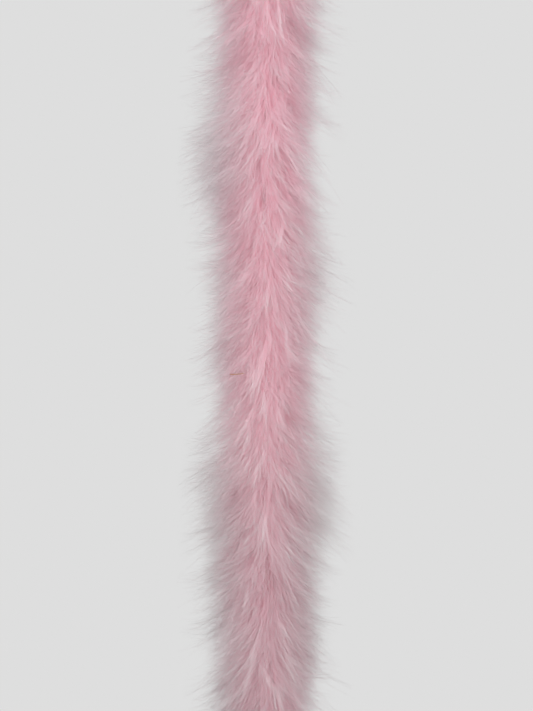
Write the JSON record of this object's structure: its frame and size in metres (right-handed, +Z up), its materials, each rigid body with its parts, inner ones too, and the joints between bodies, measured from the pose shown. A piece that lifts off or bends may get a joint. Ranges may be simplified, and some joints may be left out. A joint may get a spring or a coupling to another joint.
{
  "type": "feather boa",
  "caption": "Soft fluffy down boa that hangs from a small cord loop; its limp core bends at hinges along the whole length.",
  "frame": {"origin": "the point inside the hang loop where a hook bears, on the boa's centre line", "axes": "+Z up along the straight hanging boa, +X to the right and +Y away from the viewer of the picture"},
  "size_m": [0.0885, 0.0885, 1.8959],
  "materials": {
    "down": "soft translucent dyed down, pink at the root and pale grey-mauve at the tips",
    "cord": "matt two-ply twisted cotton cord, dyed pink",
    "thread": "fine spun polyester thread, slight sheen",
    "quill": "translucent keratin shaft, tinted by the dye; matt plastic stands in for keratin"
  },
  "bodies": {
    "hanger": {"hang_loop": "cord", "top_knot": "cord", "neck_cord": "cord", "top_whipping": "thread"},
    "length_01": {"core_cord_01": "cord", "binding_thread_01": "thread", "quills_01": "quill", "plumes_01": "down"},
    "length_02": {"core_cord_02": "cord", "binding_thread_02": "thread", "quills_02": "quill", "plumes_02": "down"},
    "length_03": {"core_cord_03": "cord", "binding_thread_03": "thread", "quills_03": "quill", "plumes_03": "down"},
    "length_04": {"core_cord_04": "cord", "binding_thread_04": "thread", "quills_04": "quill", "plumes_04": "down"},
    "length_05": {"core_cord_05": "cord", "binding_thread_05": "thread", "quills_05": "quill", "plumes_05": "down"},
    "length_06": {"core_cord_06": "cord", "binding_thread_06": "thread", "quills_06": "quill", "plumes_06": "down"},
    "length_07": {"core_cord_07": "cord", "binding_thread_07": "thread", "quills_07": "quill", "plumes_07": "down"},
    "length_08": {"core_cord_08": "cord", "binding_thread_08": "thread", "quills_08": "quill", "plumes_08": "down"},
    "length_09": {"core_cord_09": "cord", "binding_thread_09": "thread", "quills_09": "quill", "plumes_09": "down"},
    "length_10": {"core_cord_10": "cord", "binding_thread_10": "thread", "quills_10": "quill", "plumes_10": "down"},
    "length_11": {"core_cord_11": "cord", "binding_thread_11": "thread", "quills_11": "quill", "plumes_11": "down"},
    "length_12": {"core_cord_12": "cord", "binding_thread_12": "thread", "quills_12": "quill", "plumes_12": "down", "bottom_whipping": "thread", "bottom_knot": "cord", "end_loop": "cord"}
  },
  "joints": [
    {"name": "flex_01", "type": "hinge", "parent": "hanger", "child": "length_01", "pos_m": [0, 0, -0.04645], "axis": [0, 1, 0], "range_deg": [-60, 60]},
    {"name": "flex_02", "type": "hinge", "parent": "length_01", "child": "length_02", "pos_m": [0, 0, -0.19645], "axis": [1, 0, 0], "range_deg": [-60, 60]},
    {"name": "flex_03", "type": "hinge", "parent": "length_02", "child": "length_03", "pos_m": [0, 0, -0.34645], "axis": [0, -1, 0], "range_deg": [-60, 60]},
    {"name": "flex_04", "type": "hinge", "parent": "length_03", "child": "length_04", "pos_m": [0, 0, -0.49645], "axis": [-1, 0, 0], "range_deg": [-60, 60]},
    {"name": "flex_05", "type": "hinge", "parent": "length_04", "child": "length_05", "pos_m": [0, 0, -0.64645], "axis": [0, 1, 0], "range_deg": [-60, 60]},
    {"name": "flex_06", "type": "hinge", "parent": "length_05", "child": "length_06", "pos_m": [0, 0, -0.79645], "axis": [1, 0, 0], "range_deg": [-60, 60]},
    {"name": "flex_07", "type": "hinge", "parent": "length_06", "child": "length_07", "pos_m": [0, 0, -0.94645], "axis": [0, -1, 0], "range_deg": [-60, 60]},
    {"name": "flex_08", "type": "hinge", "parent": "length_07", "child": "length_08", "pos_m": [0, 0, -1.09645], "axis": [-1, 0, 0], "range_deg": [-60, 60]},
    {"name": "flex_09", "type": "hinge", "parent": "length_08", "child": "length_09", "pos_m": [0, 0, -1.24645], "axis": [0, 1, 0], "range_deg": [-60, 60]},
    {"name": "flex_10", "type": "hinge", "parent": "length_09", "child": "length_10", "pos_m": [0, 0, -1.39645], "axis": [1, 0, 0], "range_deg": [-60, 60]},
    {"name": "flex_11", "type": "hinge", "parent": "length_10", "child": "length_11", "pos_m": [0, 0, -1.54645], "axis": [0, -1, 0], "range_deg": [-60, 60]},
    {"name": "flex_12", "type": "hinge", "parent": "length_11", "child": "length_12", "pos_m": [0, 0, -1.69645], "axis": [-1, 0, 0], "range_deg": [-60, 60]}
  ]
}
